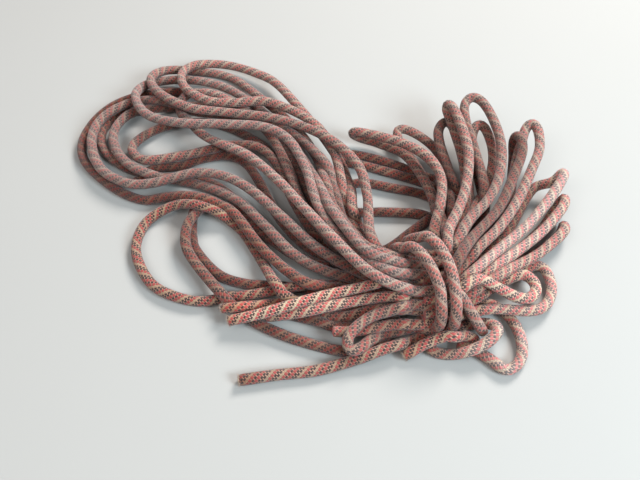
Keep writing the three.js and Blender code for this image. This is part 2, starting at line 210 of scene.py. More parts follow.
shortBights = {
    "bightBack": [
        (124, -104, 17), (148, -102, 18), (161, -73, 20), (153, -33, 25), (147, 3, 27),
        (124, 62, 20), (92, 90, 13), (66, 100, 14), (54, 103, 20), (62, 99, 27), (90, 86, 32),
        (122, 65, 39), (148, 36, 45), (160, 2, 46), (155, -38, 43), (144, -76, 40), (147, -104, 38),
        (124, -106, 38),
    ],
    "bightLow": [
        (124, -118, 38), (148, -114, 39), (158, -84, 41), (154, -35, 30), (143, 21, 22),
        (129, 64, 18), (117, 92, 18), (117, 107, 22), (130, 106, 23), (151, 90, 22), (168, 67, 19),
        (176, 30, 18), (175, -11, 18), (171, -55, 20), (166, -95, 19), (148, -116, 17),
        (124, -117, 17),
    ],
    "bightStanding": [
        (124, -117, 28), (148, -114, 29), (166, -80, 30), (183, -46, 30), (192, -8, 33),
        (193, 42, 38), (186, 90, 44), (180, 115, 49), (181, 122, 55), (186, 108, 61), (192, 75, 61),
        (196, 35, 58), (189, -10, 53), (174, -50, 50), (160, -78, 48), (150, -118, 48),
        (124, -128, 48),
    ],
    "bightSlim": [
        (124, -130, 17), (150, -122, 17), (176, -78, 18), (185, -42, 18), (183, -12, 20),
        (175, 34, 27), (168, 70, 33), (168, 92, 38), (178, 103, 42), (188, 92, 39), (194, 51, 34),
        (198, 12, 30), (193, -25, 28), (178, -66, 28), (152, -122, 28), (124, -130, 28),
    ],
    "bightTall": [
        (124, -144, 28), (150, -135, 28), (186, -82, 28), (208, -44, 28), (216, 0, 31),
        (211, 48, 39), (203, 92, 48), (203, 120, 55), (213, 130, 60), (226, 121, 60), (236, 90, 58),
        (240, 50, 55), (232, 5, 52), (214, -32, 50), (184, -66, 48), (160, -106, 47),
        (124, -136, 48),
    ],
    "bightShort": [
        (124, -143, 17), (152, -134, 17), (194, -80, 18), (212, -45, 18), (216, -9, 20),
        (211, 38, 28), (210, 76, 37), (218, 94, 44), (228, 90, 43), (234, 64, 38), (232, 36, 33),
        (221, 5, 29), (203, -28, 28), (178, -70, 30), (150, -130, 36), (124, -134, 36),
    ],
    "bightLean": [
        (124, -139, 40), (150, -136, 40), (180, -95, 37), (218, -51, 33), (243, -12, 36),
        (262, 38, 37), (276, 78, 44), (287, 91, 50), (294, 80, 50), (292, 52, 45), (276, 18, 42),
        (250, -30, 40), (220, -71, 40), (182, -108, 42), (150, -145, 40), (124, -150, 40),
    ],
    "bightEdge": [
        (124, -158, 17), (152, -146, 17), (196, -92, 17), (228, -54, 19), (248, -12, 23),
        (260, 42, 32), (266, 72, 42), (270, 66, 49), (267, 42, 48), (250, 4, 45), (223, -45, 42),
        (180, -95, 45), (150, -142, 48), (124, -147, 48),
    ],
    "bightWing": [
        (124, -156, 28), (152, -147, 28), (197, -106, 26), (240, -57, 20), (268, -12, 16),
        (286, 10, 18), (306, 13, 25), (317, 19, 35), (314, 8, 40), (296, -18, 37), (262, -57, 32),
        (224, -91, 32), (180, -131, 36), (148, -158, 40), (124, -160, 40),
    ],
    "bightSide": [
        (124, -170, 17), (152, -160, 17), (202, -119, 15), (246, -85, 10), (283, -51, 8),
        (306, -22, 11), (318, -9, 19), (311, -27, 25), (280, -62, 25), (241, -94, 25),
        (190, -131, 28), (150, -165, 28), (124, -168, 28),
    ],
    "bightGround": [
        (124, -164, 17), (152, -155, 16), (202, -122, 10), (246, -99, low), (288, -73, low),
        (307, -56, 7), (312, -46, 12), (305, -62, 19), (270, -92, 18), (229, -116, 19),
        (190, -143, 27), (150, -176, 34), (124, -180, 34),
    ],
    "bightTwisted": [
        (124, -170, 40), (150, -164, 41), (172, -148, 42), (188, -140, 40), (208, -147, 34),
        (231, -155, 26), (247, -153, 21), (258, -140, 16), (258, -125, 12), (247, -115, 9),
        (225, -124, 9), (190, -148, 14), (150, -175, 18), (124, -176, 18),
    ],
    "bightNear": [
        (124, -184, 24), (150, -179, 23), (175, -171, 20), (206, -166, 19), (246, -166, 14),
        (268, -156, 10), (280, -132, 8), (277, -106, 7), (262, -102, low), (235, -118, 6),
        (196, -143, 10), (150, -180, 12), (124, -184, 12),
    ],
    "bightUnder": [
        (124, -104, 28), (148, -102, 27), (166, -72, 21), (174, -36, 13), (171, -2, 8),
        (156, 21, low), (118, 39, low), (69, 57, low), (46, 63, low), (42, 72, low), (54, 77, low),
        (95, 65, low), (140, 43, 6), (165, 22, 9), (172, -10, 12),
    ],
    "bightShadow": [
        (168, -30, 12), (158, -4, 7), (140, 9, low), (107, 18, low), (64, 27, low), (43, 16, low),
        (38, -6, low), (50, -21, low), (90, -21, low), (135, -24, low), (156, -38, 8),
        (164, -58, 12),
    ],
    "strandBack": [
        (160, -24, 11), (135, -42, low), (105, -68, low), (74, -94, 7),
    ],
    "loopCorner": [
        (162, -204, 7), (178, -209, low), (195, -221, low), (211, -233, low), (227, -223, low),
        (233, -202, low), (228, -176, 6), (210, -157, 9), (180, -152, 13), (150, -158, 17),
        (124, -160, 17),
    ],
}

wraps = {
    "wrapFirst": [
        (120, -184, 8), (134, -191, 17), (139, -192, 30), (140, -187, 44), (139, -178, 54),
        (138, -165, 62), (134, -153, 66), (129, -140, 69), (120, -122, 67), (112, -111, 62),
        (105, -106, 52), (99, -98, 40), (98, -92, 26), (104, -94, 13), (118, -105, low),
        (130, -130, low), (138, -160, low), (144, -182, low),
    ],
    "wrapSecond": [
        (130, -188, 8), (146, -191, 15), (154, -193, 28), (155, -189, 43), (155, -180, 54),
        (153, -158, 65), (151, -145, 68), (147, -132, 70), (142, -119, 70.5), (136, -108, 69),
        (130, -99, 65), (122, -95, 57), (115, -90, 46), (112, -85, 32), (116, -85, 17),
        (128, -98, 7), (132, -130, low), (128, -165, low), (118, -188, 9),
    ],
    "wrapThird": [
        (148, -148, 46), (160, -162, 47), (170, -174, 40), (181, -185, 26), (191, -192, 12),
    ],
    "tieFold": [
        (126, -190, 8), (130, -207, 6), (145, -215, 6), (168, -215, 11), (188, -209, 19),
        (202, -198, 22), (204, -187, 17), (194, -180, 11), (170, -182, 9), (148, -186, 11),
    ],
}

looseEnds = {
    "front_end": [
        (112, -199, 6), (80, -209, low), (43, -223, low), (6, -234, low), (-36, -239, low),
        (-76, -245, low),
    ],
    "tie_tail": [
        (183, -199, 7), (168, -197, 15), (148, -199, 19), (124, -207, 14), (102, -217, low),
    ],
    "lower_end": [
        (92, -140, 38), (53, -147, 33), (1, -158, 27), (-50, -171, 20), (-92, -178, 13),
    ],
    "upper_end": [
        (-2, -152, 14), (-36, -155, 11), (-70, -157, 8), (-101, -158, low),
    ],
}


def routePoints(chosen, gap):
    # a smooth curve through the chosen points, then points an even gap apart along it
    points = np.array(chosen, float)
    first = 2 * points[0] - points[1]
    last = 2 * points[-1] - points[-2]
    padded = np.vstack([first, points, last])
    steps = np.linspace(0, 1, 24, endpoint=False)
    pieces = []
    for a, b, c, d in zip(padded[:-3], padded[1:-2], padded[2:-1], padded[3:]):
        for t in steps:
            pieces.append(0.5 * (2 * b + (c - a) * t + (2 * a - 5 * b + 4 * c - d) * t**2
                                 + (3 * b - a - 3 * c + d) * t**3))
    fine = np.vstack([np.array(pieces), points[-1:]])
    return evenPoints(fine, gap)


def evenPoints(fine, gap):
    lengths = np.r_[0, np.cumsum(np.linalg.norm(np.diff(fine, axis=0), axis=1))]
    count = max(3, int(round(lengths[-1] / gap)) + 1)
    places = np.linspace(0, lengths[-1], count)
    return np.column_stack([np.interp(places, lengths, fine[:, k]) for k in range(3)])


def freedom(points, name):
    # strands can't move inside the tied waist, and come free over a few centimetres
    x = points[:, 0]
    inLobe = np.clip((waist["left"] - x) / waist["leftBlend"], 0, 1)
    inBights = np.clip((x - waist["right"]) / waist["rightBlend"], 0, 1)
    free = np.maximum(inLobe, inBights)
    if name in wraps:
        free = np.full(len(points), waist["wrapFree"])
    if name in looseEnds:
        free = np.minimum(free, waist["endFree"])
    if name in ("tieFold", "tie_tail"):
        free = np.full(len(points), waist["tailFree"])
    return free


def sightlines(nodes):
    # from each node up to the camera: strands ride over each other along it, so the layout keeps its look
    eye = np.array(camera["place"]) / metre - centreShift
    way = eye - nodes
    return way / np.linalg.norm(way, axis=1)[:, None]


def neighbourPairs(nodes, strandOf, orderOf, reach):
    # every two nodes closer than reach that aren't next to each other on one strand
    first, second = [], []
    for start in range(0, len(nodes), settling["blockSize"]):
        block = nodes[start:start + settling["blockSize"]]
        gap = np.linalg.norm(block[:, None, :] - nodes[None, :, :], axis=2)
        rows, columns = np.nonzero(gap < reach)
        rows += start
        farOn = np.abs(orderOf[rows] - orderOf[columns]) > settling["skip"]
        apart = (strandOf[rows] != strandOf[columns]) | farOn
        first.append(rows[apart])
        second.append(columns[apart])
    return np.concatenate(first), np.concatenate(second)


# a loose end and the hidden run it comes from are one length of rope
hiddenRuns = {"lower_end": "lowerRun", "upper_end": "upperRun", "front_end": "frontRun"}


def joinedRoutes(routes):
    # the run comes first, from the waist, then the loose end
    joined = {name: list(points) for name, points in routes.items() if name not in hiddenRuns.values()}
    for name, run in hiddenRuns.items():
        joined[name] = list(routes[run])[:0:-1] + joined[name]
    return joined


def splitRuns(paths, routes):
    # cuts each joined path where the loose end leaves the hank, with a short lap under it
    for name, run in hiddenRuns.items():
        path = paths[name]
        start = int(np.argmin(np.linalg.norm(path - np.array(routes[name][0]), axis=1)))
        paths[run] = path[:start + 3]
        paths[name] = path[start:]
    return paths


def settle(routes):
    # pushes apart strands that lie in each other, keeping them near their routes and off the floor
    names = list(routes)
    parts = [routePoints(routes[n], rope["nodeGap"]) for n in names]
    strandOf = np.concatenate([np.full(len(p), i) for i, p in enumerate(parts)])
    orderOf = np.concatenate([np.arange(len(p)) for p in parts])
    nodes = np.vstack(parts)
    home = nodes.copy()
    free = np.concatenate([freedom(p, n) for p, n in zip(parts, names)])
    inner = np.ones(len(nodes), bool)
    ends = np.cumsum([0] + [len(p) for p in parts])
    inner[ends[:-1]] = False
    inner[ends[1:] - 1] = False
    index = np.nonzero(inner)[0]
    buried = free < waist["buried"]
    sight = sightlines(home)
    for turn in range(settling["rounds"]):
        if turn % settling["lookEvery"] == 0:
            first, second = neighbourPairs(nodes, strandOf, orderOf, settling["reach"])
            keep = ~(buried[first] & buried[second])
            first, second = first[keep], second[keep]
        tangent = np.zeros_like(nodes)
        tangent[index] = nodes[index + 1] - nodes[index - 1]
        for i in range(len(parts)):
            tangent[ends[i]] = nodes[ends[i] + 1] - nodes[ends[i]]
            tangent[ends[i + 1] - 1] = nodes[ends[i + 1] - 1] - nodes[ends[i + 1] - 2]
        tangent /= np.linalg.norm(tangent, axis=1)[:, None] + 1e-9
        across = acrossPairs(nodes, first, second, tangent)
        distance = np.linalg.norm(across, axis=1)
        touching = distance < rope["touch"]
        depth = rope["touch"] - distance[touching]
        way = across[touching] / (distance[touching, None] + 1e-6)
        a, b = first[touching], second[touching]
        share = free[a] / (free[a] + free[b] + 1e-6)
        push = way * depth[:, None]
        move = np.zeros_like(nodes)
        for k in range(3):
            move[:, k] = np.bincount(a, push[:, k] * share, minlength=len(nodes))
            move[:, k] -= np.bincount(b, push[:, k] * (1 - share), minlength=len(nodes))
        hits = np.bincount(a, minlength=len(nodes)) + np.bincount(b, minlength=len(nodes))
        move *= settling["push"] / np.maximum(hits, 1)[:, None] * (free > 0)[:, None]
        lift = (move * sight).sum(1)[:, None] * sight
        nodes += lift * settling["lift"] + (move - lift) * settling["sideways"]
        # bending stiffness: short waves are smoothed away
        middle = 0.5 * (nodes[index - 1] + nodes[index + 1]) - nodes[index]
        homeMiddle = 0.5 * (home[index - 1] + home[index + 1]) - home[index]
        nodes[index] += settling["smooth"] * (middle - homeMiddle) * free[index, None]
        back = home - nodes
        sunk = (back * sight).sum(1)[:, None] * sight
        nodes += sunk * settling["holdUp"] + (back - sunk) * settling["hold"]
        nodes[:, 2] = np.maximum(nodes[:, 2], rope["seat"])
    # the closest centres, without the pairs held fixed in the waist
    distance = np.linalg.norm(acrossPairs(nodes, first, second, tangent), axis=1)
    paths = {n: nodes[ends[i]:ends[i + 1]].copy() for i, n in enumerate(names)}
    return paths, np.sort(distance)[:400:40]


def acrossPairs(nodes, first, second, tangent):
    # from the second node of each pair to the first, less most of what lies along the second's strand
    offset = nodes[first] - nodes[second]
    along = np.clip((offset * tangent[second]).sum(1), -settling["along"], settling["along"])
    return offset - along[:, None] * tangent[second]


settling = {
    "rounds": 160,
    "push": 0.9,
    "lift": 1.25,
    "sideways": 0.35,
    "smooth": 0.25,
    "hold": 0.06,  # pull back towards the route, sideways and along the sightline
    "holdUp": 0.006,
    "reach": 24.0,  # pairs of nodes farther apart than this are left out
    "lookEvery": 12,  # rounds between two searches for pairs
    "along": 3.2,  # how far a node may slide along the other strand when they are compared
    "skip": 5,  # neighbours on one strand that aren't compared
    "blockSize": 600,
}
waist = {
    "left": 106,  # strands are held between left and right
    "leftBlend": 40,
    "right": 154,
    "rightBlend": 30,
    "wrapFree": 0.01,
    "endFree": 0.4,
    "tailFree": 0.15,
    "buried": 0.02,  # nodes less free than this don't push each other
}


def ringFrames(path):
    # directions across the rope, carried along it without twist
    tangents = np.gradient(path, axis=0)
    tangents /= np.linalg.norm(tangents, axis=1)[:, None]
    side = np.cross(tangents[0], (0, 0, 1.0))
    if np.linalg.norm(side) < 0.1:
        side = np.cross(tangents[0], (0, 1.0, 0))
    sides = np.zeros_like(path)
    for i, t in enumerate(tangents):
        side = side - t * side.dot(t)
        side /= np.linalg.norm(side)
        sides[i] = side
    return tangents, sides, np.cross(tangents, sides)


def wander(count, waves, seed):
    # a slow smooth wobble about zero
    random = np.random.default_rng(seed)
    knots = random.normal(0, 1, max(4, waves + 3))
    places = np.linspace(0, len(knots) - 1, count)
    near = np.floor(places).astype(int).clip(0, len(knots) - 2)
    t = places - near
    t = t * t * (3 - 2 * t)
    return knots[near] * (1 - t) + knots[near + 1] * t


hiddenFace, cutFace = 0.33, -5.0  # map value of an end face inside the hank, and of a cut tip


# where the sheath lies when it is baked; shares of the map, but for spacing in mm
baking = {
    "across": 0.97,
    "edge": 0.04,  # left free on both sides of a lane
    "along": 0.94,
    "start": 0.005,
    "spacing": 3.0,  # between two strands
    "capAt": 0.98,
    "capStep": 0.02,
    "capWide": 0.012,
    "capCount": 40,
}


class RopeMesh:
    # gathers the tubes of several strands into one mesh with its own map
    def __init__(self):
        self.vertices, self.faces, self.corners, self.rows = [], [], [], []
        self.looks = []
        self.count = 0

    def addStrand(self, path, look, seed, cutStart=False, cutEnd=False):
        sides = rope["sides"]
        tangents, across, up = ringFrames(path)
        lengths = np.r_[0, np.cumsum(np.linalg.norm(np.diff(path, axis=0), axis=1))]
        rings = len(path)
        radius = rope["diameter"] / 2 * (1 + rope["swell"] * wander(rings, rings // rope["swellEvery"], seed))
        oval = rope["oval"] * wander(rings, rings // rope["ovalEvery"], seed + 1)
        turn = wander(rings, rings // rope["turnEvery"], seed + 2) * rope["turn"]
        angles = 2 * np.pi * np.arange(sides) / sides
        shrink = np.ones(rings)
        shrink[:2] = rope["taper"]
        shrink[-2:] = rope["taper"][::-1]
        ring = []
        for i in range(rings):
            a = angles + turn[i]
            wide = radius[i] * shrink[i]
            ring.append(path[i] + np.outer(np.cos(a) * wide * (1 + oval[i]), across[i])
                        + np.outer(np.sin(a) * wide * (1 - oval[i]), up[i]))
        points = np.vstack(ring)
        base = self.count
        self.vertices.append(points)
        self.looks.append(np.repeat(look, sides, axis=0))
        self.count += len(points)
        i, j = np.meshgrid(np.arange(rings - 1), np.arange(sides), indexing="ij")
        nextJ = (j + 1) % sides
        quads = np.stack([i * sides + j, i * sides + nextJ, (i + 1) * sides + nextJ,
                          (i + 1) * sides + j], axis=-1).reshape(-1, 4) + base
        self.faces.append(quads)
        # around the rope, and along it in pitches of the braid
        u0, u1 = j / sides, (j + 1) / sides
        v0, v1 = lengths[i] / braid["pitch"], lengths[i + 1] / braid["pitch"]
        self.corners.append(np.stack([u0, v0, u1, v0, u1, v1, u0, v1], axis=-1).reshape(-1, 4, 2))
        self.rows.append((lengths, rings - 1, sides))
        for row, order, cut in ((0, -1, cutStart), (rings - 1, 1, cutEnd)):
            kind = cutFace if cut else hiddenFace
            self.addCap(path[row], tangents[row] * order, base + row * sides, sides, order, look[row],
                        seed + row, kind)

    def addCap(self, centre, out, start, sides, order, look, seed, kind):
        # the blunt cut face: two rings that bulge a little, then the middle
        rim = np.array(np.vstack(self.vertices)[start:start + sides])
        random = np.random.default_rng(seed)
        firstRing = start
        for share, bulge in rope["capRings"]:
            fresh = centre + (rim - centre) * share + out * bulge
            fresh += out * random.normal(0, rope["capRough"], sides)[:, None]
            self.vertices.append(fresh)
            self.looks.append(np.repeat(look[None, :], sides, axis=0))
            begin = self.count
            self.count += sides
            self.bridge(firstRing, begin, sides, order, kind)
            firstRing = begin
        self.vertices.append((centre + out * rope["capBulge"])[None, :])
        self.looks.append(look[None, :])
        middle = self.count
        self.count += 1
        j = np.arange(sides)
        after = (j + 1) % sides
        tip = np.full(sides, middle)
        fan = np.stack([firstRing + j, firstRing + after, tip], axis=-1)
        self.faces.append(fan if order > 0 else fan[:, ::-1])
        self.corners.append(np.full((sides, 3, 2), kind))
        self.rows.append(None)

    def bridge(self, a, b, sides, order, kind):
        j = np.arange(sides)
        after = (j + 1) % sides
        quads = np.stack([a + j, a + after, b + after, b + j], axis=-1)
        self.faces.append(quads if order > 0 else quads[:, ::-1])
        self.corners.append(np.full((sides, 4, 2), kind))
        self.rows.append(None)

    def build(self, name, materials):
        vertices = (np.vstack(self.vertices) + centreShift) * metre
        mesh = bpy.data.meshes.new(name)
        faces = [tuple(f) for block in self.faces for f in block.tolist()]
        mesh.from_pydata(vertices.tolist(), [], faces)
        mesh.update()
        braidMap = mesh.uv_layers.new(name="Braid")
        braidMap.data.foreach_set("uv", np.concatenate([c.reshape(-1) for c in self.corners]))
        bakeMap = mesh.uv_layers.new(name="OFBake")
        bakeMap.data.foreach_set("uv", self.bakeCorners().reshape(-1))
        mesh.uv_layers.active = braidMap
        looks = np.vstack(self.looks)
        for k, label in enumerate(lookNames):
            layer = mesh.attributes.new(label, "FLOAT", "POINT")
            layer.data.foreach_set("value", looks[:, k].astype(np.float32))
        for m in materials:
            mesh.materials.append(m)
        mesh.polygons.foreach_set("use_smooth", np.ones(len(faces), bool))
        marks = np.concatenate([np.full(len(block), 0 if corner.min() > -1 else min(1, len(materials) - 1))
                                for block, corner in zip(self.faces, self.corners)])
        mesh.polygons.foreach_set("material_index", marks.astype(np.int32))
        mesh.update()
        piece = linked(name, mesh)
        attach(piece, "root")
        return piece

    def bakeCorners(self):
        # strips of sheath side by side, so that the braid stays sharp wherever it is baked
        total = sum(r[0][-1] for r in self.rows if r)
        around = math.pi * rope["diameter"]
        lanes = max(1, math.ceil(math.sqrt(total / around)))
        while total / lanes * 1.03 > lanes * around:
            lanes += 1
        longest = total / lanes * 1.04
        laneWide = baking["across"] / lanes
        edge, inside = baking["edge"], 1 - 2 * baking["edge"]
        capWide = baking["capWide"]
        out = []
        spent = 0.0
        capAt = 0
        for row, corner in zip(self.rows, self.corners):
            if row is None:
                # cut faces share the narrow band kept free at the top
                place = np.zeros(corner.shape)
                place[..., 0] = (1 + capAt % baking["capCount"]) * baking["capStep"]
                place[..., 0] += np.array([0, capWide, capWide, 0])[None, :corner.shape[1]]
                place[..., 1] = baking["capAt"]
                place[..., 1] += np.array([0, 0, capWide, capWide])[None, :corner.shape[1]]
                capAt += 1
                out.append(place.reshape(-1, 2))
                continue
            lengths, steps, sides = row
            i, j = np.meshgrid(np.arange(steps), np.arange(sides), indexing="ij")
            start = spent + lengths[i]
            end = spent + lengths[i + 1]
            lane = np.floor(start / longest)
            startIn = (start - lane * longest) / longest
            endIn = (end - lane * longest) / longest
            x0 = (lane + edge + inside * j / sides) * laneWide
            x1 = (lane + edge + inside * (j + 1) / sides) * laneWide
            y0, y1 = (place * baking["along"] + baking["start"] for place in (startIn, endIn))
            out.append(np.stack([x0, y0, x1, y0, x1, y1, x0, y1], axis=-1).reshape(-1, 2))
            spent += lengths[-1] + baking["spacing"]
        return np.concatenate(out)


# how each strand looks: clean 1 is unfaded; rust is a warm brown stain plus painted warm light bounced off
# the floor; dust lies on top, with a painted highlight; grime is painted shade, with handling dirt at cut
# tips
lookNames = ("clean", "rustAndPaintedBounce", "dustAndPaintedHighlight", "paintedShadeAndGrime")
strandLooks = {
    # name: (clean, rust with painted bounce light, dust with painted highlight, painted shade with grime)
    "turnTop": (0.45, 0.15, 0.22, 0.22),
    "turnOuter": (0.45, 0.12, 0.28, 0.44),
    "turnHigh": (0.25, 0.0, 0.45, 0.38),
    "turnCross": (0.35, 0.1, 0.35, 0.2),
    "turnWide": (0.3, 0.05, 0.42, 0.52),
    "turnNarrow": (0.25, 0.1, 0.38, 0.56),
    "turnInner": (0.45, 0.25, 0.2, 0.5),
    "turnGround": (0.5, 0.95, 0.0, 0.72),
    "turnLowOuter": (0.4, 0.5, 0.1, 0.5),
    "turnLowInner": (0.4, 0.6, 0.1, 0.7),
    "loopLoose": (1.0, 0.3, 0.0, 0.58),
    "loopShade": (0.55, 0.45, 0.1, 0.78),
    "loopBehind": (0.6, 0.9, 0.0, 1.0),
    "strandUnder": (0.85, 0.1, 0.1, 0),
    "strandFlat": (0.4, 0.3, 0.25, 0.55),
    "strandMiddle": (0.5, 0.2, 0.3, 0.05),
    "strandStub": (0.55, 0.25, 0.2, 0.0),
    "bightTight": (0.6, 0.15, 0.3, 0.42),
    "frontRun": (0.45, 0.5, 0.1, 0.25),
    "lowerRun": (0.9, 0.05, 0.05, 0.2),
    "upperRun": (0.6, 0.3, 0.1, 0.2),
    "bightBack": (0.45, 0.25, 0.25, 0.25),
    "bightLow": (0.35, 0.3, 0.3, 0.4),
    "bightStanding": (0.5, 0.15, 0.3, 0.24),
    "bightSlim": (0.4, 0.35, 0.3, 0.5),
    "bightTall": (0.45, 0.1, 0.3, 0.45),
    "bightShort": (0.4, 0.35, 0.3, 0.1),
    "bightLean": (0.5, 0.1, 0.35, 0.25),
    "bightEdge": (0.5, 0.35, 0.25, 0.8),
    "bightWing": (0.8, 0.05, 0.9, 0),
    "bightSide": (0.9, 0.05, 0.75, 0),
    "bightGround": (0.8, 0.05, 0.45, 0.2),
    "bightTwisted": (0.95, 0.05, 0.3, 0),
    "bightNear": (0.95, 0.1, 0.8, 0),
    "bightUnder": (0.4, 0.7, 0.0, 0.5),
    "bightShadow": (0.4, 0.7, 0.0, 0.7),
    "strandBack": (0.4, 1.0, 0.0, 1.0),
    "loopCorner": (0.7, 0.2, 0.8, 0),
    "wrapFirst": (0.3, 0.3, 0.22, 0.12),
    "wrapSecond": (0.3, 0.3, 0.22, 0.05),
    "wrapThird": (0.35, 0.1, 0.4, 0),
    "tieFold": (0.6, 0.1, 0.5, 0),
    "front_end": (0.85, 0.15, 0.1, 0.48),
    "tie_tail": (0.9, 0.15, 0.1, 0.0),
    "lower_end": (0.95, 0.05, 0.0, 0),
    "upper_end": (0.7, 0.75, 0.0, 0.1),
}
sheath = {
    # the twelve coloured yarns in the order they follow each other along the rope
    "yarns": "kkrcckkrkrcc",
    "black": (0.016, 0.015, 0.012),
    "red": (0.57, 0.068, 0.07),
    "cream": (0.72, 0.62, 0.38),
    "ground": (0.75, 0.47, 0.345),
    "fadedBlack": (0.055, 0.047, 0.045),
    "fadedRed": (0.45, 0.12, 0.09),
    "fadedCream": (0.40, 0.32, 0.28),
    "fadedGround": (0.44, 0.28, 0.235),
    # the next tones: pale grey for dust with a painted highlight, warm brown for stain with painted bounce
    # light, dark brown for painted shade with grime, near black for painted shade in the hollows between
    # yarns
    "dustAndHighlightTone": (0.62, 0.54, 0.53),
    "rustAndBounceTone": (0.80, 0.33, 0.13),
    "shadeAndGrimeTone": (0.30, 0.19, 0.14),
    "gapTone": (0.045, 0.024, 0.018),
    "seamTone": (0.28, 0.20, 0.16),
    "lanes": {"k": 1.05, "r": 1.45, "c": 0.6},  # how wide a lane each yarn lies in
    "widths": {"k": 0.92, "r": 1.55, "c": 0.95},  # how much of its lane it fills
    "lifts": {"k": 0.3, "r": 0.5, "c": 0.3},  # how proud it stands
    "crossYarns": 12,  # plain yarns that wind the other way
    "crossWidth": 0.42,  # half of a plain yarn's width, in lanes
    "uneven": 0.34,  # how far the yarns stray from even lanes
    "rise": 0.5,  # how much a yarn goes up and down over its neighbours
    "stainAndBounceMost": 0.85,  # how strongly rust with painted bounce light, dust with painted highlight, gaps with painted shade and seams cover the yarns
    "dustAndHighlightMost": 0.4,
    "gapMost": 0.75,
    "seamMost": 0.8,
    "patchScale": 14.0,  # larger is finer
    "streakScale": 70.0,
    "fleckScale": 1500.0,
    "threadScale": 2200.0,
    "thread": 0.12,
    "rough": 0.72,
    "shine": 0.25,
    "sheen": 0.25,
    "bump": 0.9,
    "bumpHeight": 0.0006,
}


class Nodes:
    # short names for the shader nodes used again and again
    def __init__(self, material):
        material.use_nodes = True
        self.tree = material.node_tree
        self.tree.nodes.clear()

    def add(self, kind, **values):
        node = self.tree.nodes.new(kind)
        for key, value in values.items():
            setattr(node, key, value)
        return node

    def plug(self, value, socket):
        if isinstance(value, bpy.types.NodeSocket):
            self.tree.links.new(value, socket)
        else:
            socket.default_value = value

    def math(self, operation, *values, clamp=False):
        node = self.add("ShaderNodeMath", operation=operation, use_clamp=clamp)
        for value, socket in zip(values, node.inputs):
            self.plug(value, socket)
        return node.outputs[0]

    def mixColour(self, factor, a, b, blend="MIX"):
        node = self.add("ShaderNodeMix", data_type="RGBA", blend_type=blend)
        self.plug(factor, node.inputs[0])
        self.plug(a if isinstance(a, bpy.types.NodeSocket) else (*a, 1.0), node.inputs[6])
        self.plug(b if isinstance(b, bpy.types.NodeSocket) else (*b, 1.0), node.inputs[7])
        return node.outputs[2]

    def times(self, a, b, clamp=False):
        return self.math("MULTIPLY", a, b, clamp=clamp)

    def plus(self, a, b, clamp=False):
        return self.math("ADD", a, b, clamp=clamp)

    def minus(self, a, b, clamp=False):
        return self.math("SUBTRACT", a, b, clamp=clamp)

    def scaled(self, value, by, base, clamp=False):
        return self.math("MULTIPLY_ADD", value, by, base, clamp=clamp)

    def attribute(self, name):
        return self.add("ShaderNodeAttribute", attribute_name=name).outputs["Fac"]

    def noise(self, scale, detail=2.0, vector=None):
        node = self.add("ShaderNodeTexNoise")
        node.inputs["Scale"].default_value = scale
        node.inputs["Detail"].default_value = detail
        if vector is not None:
            self.tree.links.new(vector, node.inputs["Vector"])
        return node.outputs["Fac"]

    def ramp(self, value, stops, constant=False):
        node = self.add("ShaderNodeValToRGB")
        node.color_ramp.interpolation = "CONSTANT" if constant else "LINEAR"
        elements = node.color_ramp.elements
        while len(elements) > 1:
            elements.remove(elements[-1])
        elements[0].position, elements[0].color = stops[0][0], (*stops[0][1], 1.0)
        for place, colour in stops[1:]:
            elements.new(place).color = (*colour, 1.0)
        self.plug(value, node.inputs[0])
        return node.outputs[0]


